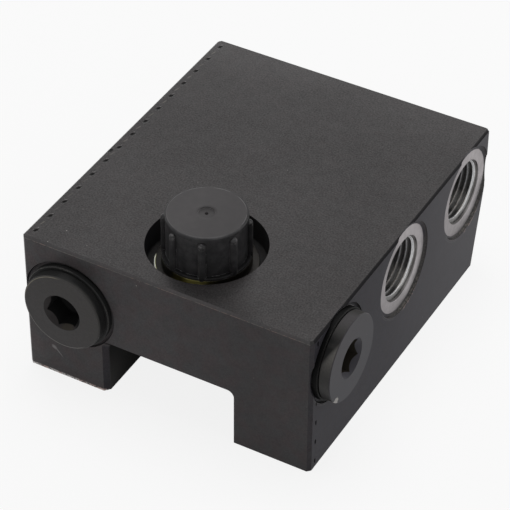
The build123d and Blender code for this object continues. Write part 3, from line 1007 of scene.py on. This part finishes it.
class Shell:
    """Closed mesh in the making. Its points are added in order, and those in one place are one."""

    def __init__(self):
        self.points = []
        self.found = {}
        self.place = []
        self.faces = []

    def add(self, point):
        key = tuple(round(part, 4) for part in point)
        if key not in self.found:
            self.found[key] = len(self.points)
            self.points.append(point)
        self.place.append(self.found[key])

    def join(self, *corners):
        """Face on these points, where neighbours that lie in one place count once."""
        ring = [self.place[corner] for corner in corners]
        ring = [corner for number, corner in enumerate(ring) if corner != ring[number - 1]]
        if len(set(ring)) == len(ring) > 2:
            self.faces.append(ring)

    def piece(self, name, mouth, outward):
        """Object with this mesh at a hole's mouth, smooth apart from its sharp edges."""
        turning = outward.to_track_quat("Z", "Y").to_matrix()
        mesh = bpy.data.meshes.new(name)
        mesh.from_pydata([(mouth + turning @ point) * MM for point in self.points], [], self.faces)
        form = bmesh.new()
        form.from_mesh(mesh)
        bmesh.ops.remove_doubles(form, verts=form.verts, dist=WELD * MM)
        bmesh.ops.recalc_face_normals(form, faces=form.faces)
        for face in form.faces:
            face.smooth = True
        for edge in form.edges:
            edge.smooth = edge.calc_face_angle(0.0) < math.radians(SMOOTH_UP_TO)
        form.to_mesh(mesh)
        form.free()
        piece = bpy.data.objects.new(name, mesh)
        bpy.context.scene.collection.objects.link(piece)
        return piece


def thread_sleeve(size):
    """Shell of a closed sleeve that lines a hole, with a right-handed thread and a countersink inside.

    Its rows of points follow the helix, so after a turn a row meets the one samples before it.
    """
    pitch, length, segments, samples = (size[key] for key in ("pitch", "length", "around", "samples"))
    start = (size["mouth"] - size["wall"]) / size["taper"]
    rows = math.ceil((length - start) / pitch * samples) + samples
    shell = Shell()

    def add(angle, depth, radius):
        shell.add(Vector((radius * math.cos(angle), radius * math.sin(angle), -depth)))

    for row in range(rows + 1):
        for step in range(segments):
            share = step / segments
            depth = start + (row - samples * share) * pitch / samples
            depth = min(max(depth, start), length)
            cone = size["mouth"] - size["taper"] * depth
            cut = thread_radius((depth - start) / pitch + share + size["phase"], size)
            add(share * math.tau, depth, min(max(cut, cone), size["wall"]))
    for depth in (start, length):
        for step in range(segments):
            add(step / segments * math.tau, depth, size["wall"])

    bottom = rows * segments
    top = bottom + segments
    end = top + segments
    for step in range(segments):
        after = (step + 1) % segments
        back = samples if after == 0 else 0
        for row in range(rows):
            near = max(row - back, 0) * segments + after
            far = max(row + 1 - back, 0) * segments + after
            here = row * segments + step
            shell.join(here, near, far, here + segments)
        shell.join(top + step, top + after, after, step)
        shell.join(bottom + step, bottom - back * segments + after, end + after, end + step)
        shell.join(end + step, end + after, top + after, top + step)
    return shell


def line_hole(name, mouth, outward, size, finish):
    """Thread sleeve in its finish, which goes with the block."""
    sleeve = thread_sleeve(size).piece(name, mouth, outward)
    sleeve.data.materials.append(finish)
    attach(sleeve, "root")


def seen_rays(tree):
    """1 for rays from the camera, and for those that come by way of a reflection or through glass."""
    path = tree.nodes.new("ShaderNodeLightPath")
    seen = path.outputs["Is Camera Ray"]
    for name in ("Is Glossy Ray", "Is Transmission Ray"):
        either = tree.nodes.new("ShaderNodeMath")
        either.operation = "MAXIMUM"
        tree.links.new(seen, either.inputs[0])
        tree.links.new(path.outputs[name], either.inputs[1])
        seen = either.outputs[0]
    return seen


def mix_into(tree, amount, first, second, output):
    """Output that shows the first shader at 0 and the second at 1."""
    mix = tree.nodes.new("ShaderNodeMixShader")
    for socket, source in zip(mix.inputs, (amount, first.outputs[0], second.outputs[0])):
        tree.links.new(source, socket)
    tree.links.new(mix.outputs[0], output.inputs["Surface"])


def floor_material():
    """Pale floor that shows white to the camera, apart from the object's shadow."""
    material = bpy.data.materials.new("floor")
    material.use_nodes = True
    tree = material.node_tree
    tree.nodes.clear()
    output = tree.nodes.new("ShaderNodeOutputMaterial")
    diffuse = tree.nodes.new("ShaderNodeBsdfDiffuse")
    diffuse.inputs["Color"].default_value = (0.8, 0.8, 0.8, 1)
    glow = tree.nodes.new("ShaderNodeEmission")
    glow.inputs["Color"].default_value = (1, 1, 1, 1)
    glow.inputs["Strength"].default_value = 1.0
    amount = tree.nodes.new("ShaderNodeMath")
    amount.operation = "MULTIPLY"
    tree.links.new(seen_rays(tree), amount.inputs[0])
    amount.inputs[1].default_value = FLOOR_WHITENESS
    mix_into(tree, amount.outputs[0], diffuse, glow, output)
    return material


def lay_floor():
    mesh = bpy.data.meshes.new("floor")
    corners = [(x * FLOOR_HALF, y * FLOOR_HALF, 0) for x, y in ((-1, -1), (1, -1), (1, 1), (-1, 1))]
    mesh.from_pydata(corners, [], [(0, 1, 2, 3)])
    mesh.materials.append(floor_material())
    floor = bpy.data.objects.new("floor", mesh)
    floor.location.z = -FLOOR_DROP
    bpy.context.scene.collection.objects.link(floor)


def light_world():
    """World that lights the object softly, and shows white to the camera and in reflections."""
    world = bpy.data.worlds.new("studio")
    world.use_nodes = True
    bpy.context.scene.world = world
    tree = world.node_tree
    tree.nodes.clear()
    output = tree.nodes.new("ShaderNodeOutputWorld")
    shaders = []
    for strength in (WORLD_LIGHT, 1.0):
        shader = tree.nodes.new("ShaderNodeBackground")
        shader.inputs["Color"].default_value = (1, 1, 1, 1)
        shader.inputs["Strength"].default_value = strength
        shaders.append(shader)
    mix_into(tree, seen_rays(tree), *shaders, output)


def softbox(name, place, size, power):
    """Square area light that points at the object."""
    light = bpy.data.lights.new(name, "AREA")
    light.shape = "SQUARE"
    light.size = size
    light.energy = power
    lamp = bpy.data.objects.new(name, light)
    lamp.location = place
    lamp.rotation_euler = (LIGHT_TARGET - Vector(place)).to_track_quat("-Z", "Y").to_euler()
    bpy.context.scene.collection.objects.link(lamp)


def place_camera():
    data = bpy.data.cameras.new("camera")
    data.lens = CAMERA_LENS
    data.sensor_width = SENSOR_WIDTH
    data.clip_start = 0.05
    data.clip_end = 20.0
    camera = bpy.data.objects.new("camera", data)
    turn = Matrix.Rotation(math.radians(CAMERA_AZIMUTH), 4, "Z")
    tilt = Matrix.Rotation(math.radians(90 - CAMERA_ELEVATION), 4, "X")
    roll = Matrix.Rotation(math.radians(CAMERA_ROLL), 4, "Z")
    camera.matrix_world = Matrix.Translation(CAMERA_PLACE) @ turn @ tilt @ roll
    bpy.context.scene.collection.objects.link(camera)
    bpy.context.scene.camera = camera


# Studio
lay_floor()
light_world()
for box in SOFTBOXES:
    softbox(*box)
place_camera()
bpy.context.scene.view_settings.view_transform = "Standard"

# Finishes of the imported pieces
finishes = {
    "blackened_steel": blackened_steel(),
    "plug_steel": plug_steel(),
    "plain_zinc": plain_zinc(),
    "nipple_steel": nipple_steel(),
    "yellow_zinc": yellow_zinc(),
    "cap_plastic": cap_plastic(),
}
for part in frame["record"]["subparts"]:
    node = frame["nodes"][part["node"]]
    for material_slot in node.material_slots:
        material_slot.material = finishes[part["material_slot"]]

# Threads of the two open ports and the four foot holes
port_finish = thread_steel()
for name, port in (("port_a_thread", port_a), ("port_b_thread", port_b)):
    mouth = Vector((SEAT_FLOOR, port.y, port.z))
    line_hole(name, mouth, Vector((1, 0, 0)), PORT_THREAD, port_finish)
foot = mounts["foot_holes"]["dims"]
for number, (side, end) in enumerate(((-1, -1), (1, -1), (-1, 1), (1, 1)), start=1):
    mouth = Vector((side * foot["spacing_x_mm"] / 2, end * foot["spacing_y_mm"] / 2, 0))
    line_hole(f"foot_thread_{number}", mouth, Vector((0, 0, -1)), FOOT_THREAD, finishes["blackened_steel"])
